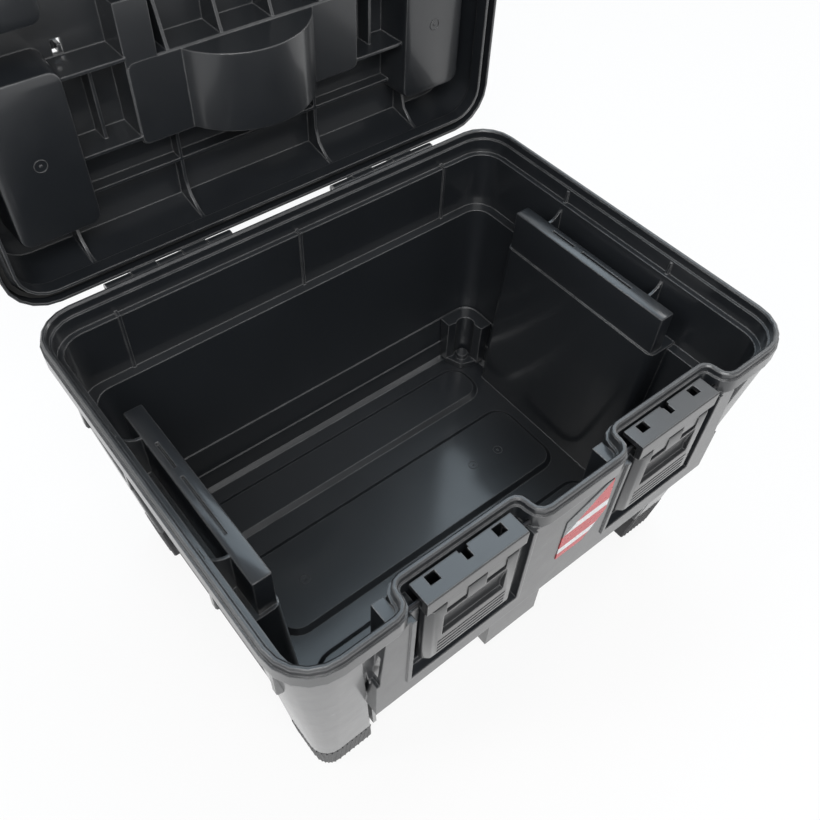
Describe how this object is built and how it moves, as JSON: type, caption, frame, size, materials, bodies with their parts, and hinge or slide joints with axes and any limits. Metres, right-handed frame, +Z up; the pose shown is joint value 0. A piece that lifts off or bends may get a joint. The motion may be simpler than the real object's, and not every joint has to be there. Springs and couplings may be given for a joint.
{
  "type": "toolbox",
  "caption": "Deep tapered plastic toolbox with a hinged lid, front draw latches, folding carry handle, covered lid trays and corner feet.",
  "frame": {"origin": "ground level under the middle of the open box's footprint", "axes": "+X to the box's right seen from the front, +Y to the back, +Z up"},
  "size_m": [0.449, 0.4082, 0.5995],
  "materials": {
    "black_plastic": "moulded black polypropylene, fine grain, slight sheen",
    "latch_plastic": "moulded black polypropylene, smoother",
    "foot_plastic": "matt black tough plastic",
    "seal_rubber": "soft black sealing strip",
    "pin_steel": "plain drawn steel rod",
    "blackened_pin": "blackened steel rod",
    "label_film": "printed film with plain colour bands"
  },
  "bodies": {
    "tub": {"tub": "black_plastic", "front_label": "label_film", "hinge_pin_left": "pin_steel", "hinge_pin_right": "pin_steel", "latch_pivot_pin_left": "blackened_pin", "latch_pivot_pin_right": "blackened_pin", "corner_foot_front_left": "foot_plastic", "corner_foot_front_right": "foot_plastic", "corner_foot_back_left": "foot_plastic", "corner_foot_back_right": "foot_plastic", "foot_anchor_front_left": "black_plastic", "foot_anchor_front_right": "black_plastic", "foot_anchor_back_left": "black_plastic", "foot_anchor_back_right": "black_plastic"},
    "lid": {"lid": "black_plastic", "lid_seal": "seal_rubber", "handle_pin_left": "pin_steel", "handle_pin_right": "pin_steel", "cover_pin_front_left": "pin_steel", "cover_pin_front_right": "pin_steel", "cover_pin_back_left": "pin_steel", "cover_pin_back_right": "pin_steel"},
    "handle": {"carry_handle": "latch_plastic"},
    "lever_left": {"latch_lever_left": "latch_plastic", "latch_hook_pin_left": "blackened_pin"},
    "hook_left": {"latch_hook_left": "latch_plastic"},
    "cover_left": {"top_cover_left": "black_plastic"},
    "lever_right": {"latch_lever_right": "latch_plastic", "latch_hook_pin_right": "blackened_pin"},
    "hook_right": {"latch_hook_right": "latch_plastic"},
    "cover_right": {"top_cover_right": "black_plastic"}
  },
  "joints": [
    {"name": "lid_hinge", "type": "hinge", "parent": "tub", "child": "lid", "pos_m": [0, 0.1445, 0.251], "axis": [1, 0, 0], "range_deg": [0, 90]},
    {"name": "handle_fold", "type": "hinge", "parent": "lid", "child": "handle", "pos_m": [0, 0.1873, 0.4275], "axis": [1, 0, 0], "range_deg": [0, 90]},
    {"name": "lever_turn_left", "type": "hinge", "parent": "tub", "child": "lever_left", "pos_m": [-0.092, -0.1945, 0.2465], "axis": [-1, 0, 0], "range_deg": [-5, 95]},
    {"name": "hook_turn_left", "type": "hinge", "parent": "lever_left", "child": "hook_left", "pos_m": [-0.092, -0.1985, 0.231], "axis": [-1, 0, 0], "range_deg": [-95, 5]},
    {"name": "cover_hinge_left", "type": "hinge", "parent": "lid", "child": "cover_left", "pos_m": [-0.2036, 0.2011, 0.4275], "axis": [0, 0, 1], "range_deg": [0, 110]},
    {"name": "lever_turn_right", "type": "hinge", "parent": "tub", "child": "lever_right", "pos_m": [0.092, -0.1945, 0.2465], "axis": [-1, 0, 0], "range_deg": [-5, 95]},
    {"name": "hook_turn_right", "type": "hinge", "parent": "lever_right", "child": "hook_right", "pos_m": [0.092, -0.1985, 0.231], "axis": [-1, 0, 0], "range_deg": [-95, 5]},
    {"name": "cover_hinge_right", "type": "hinge", "parent": "lid", "child": "cover_right", "pos_m": [0.2036, 0.2011, 0.4275], "axis": [0, 0, -1], "range_deg": [0, 110]}
  ],
  "couplings": [
    {"joint": "hook_turn_left", "follows": "lever_turn_left", "ratio": -1},
    {"joint": "hook_turn_right", "follows": "lever_turn_right", "ratio": -1}
  ]
}
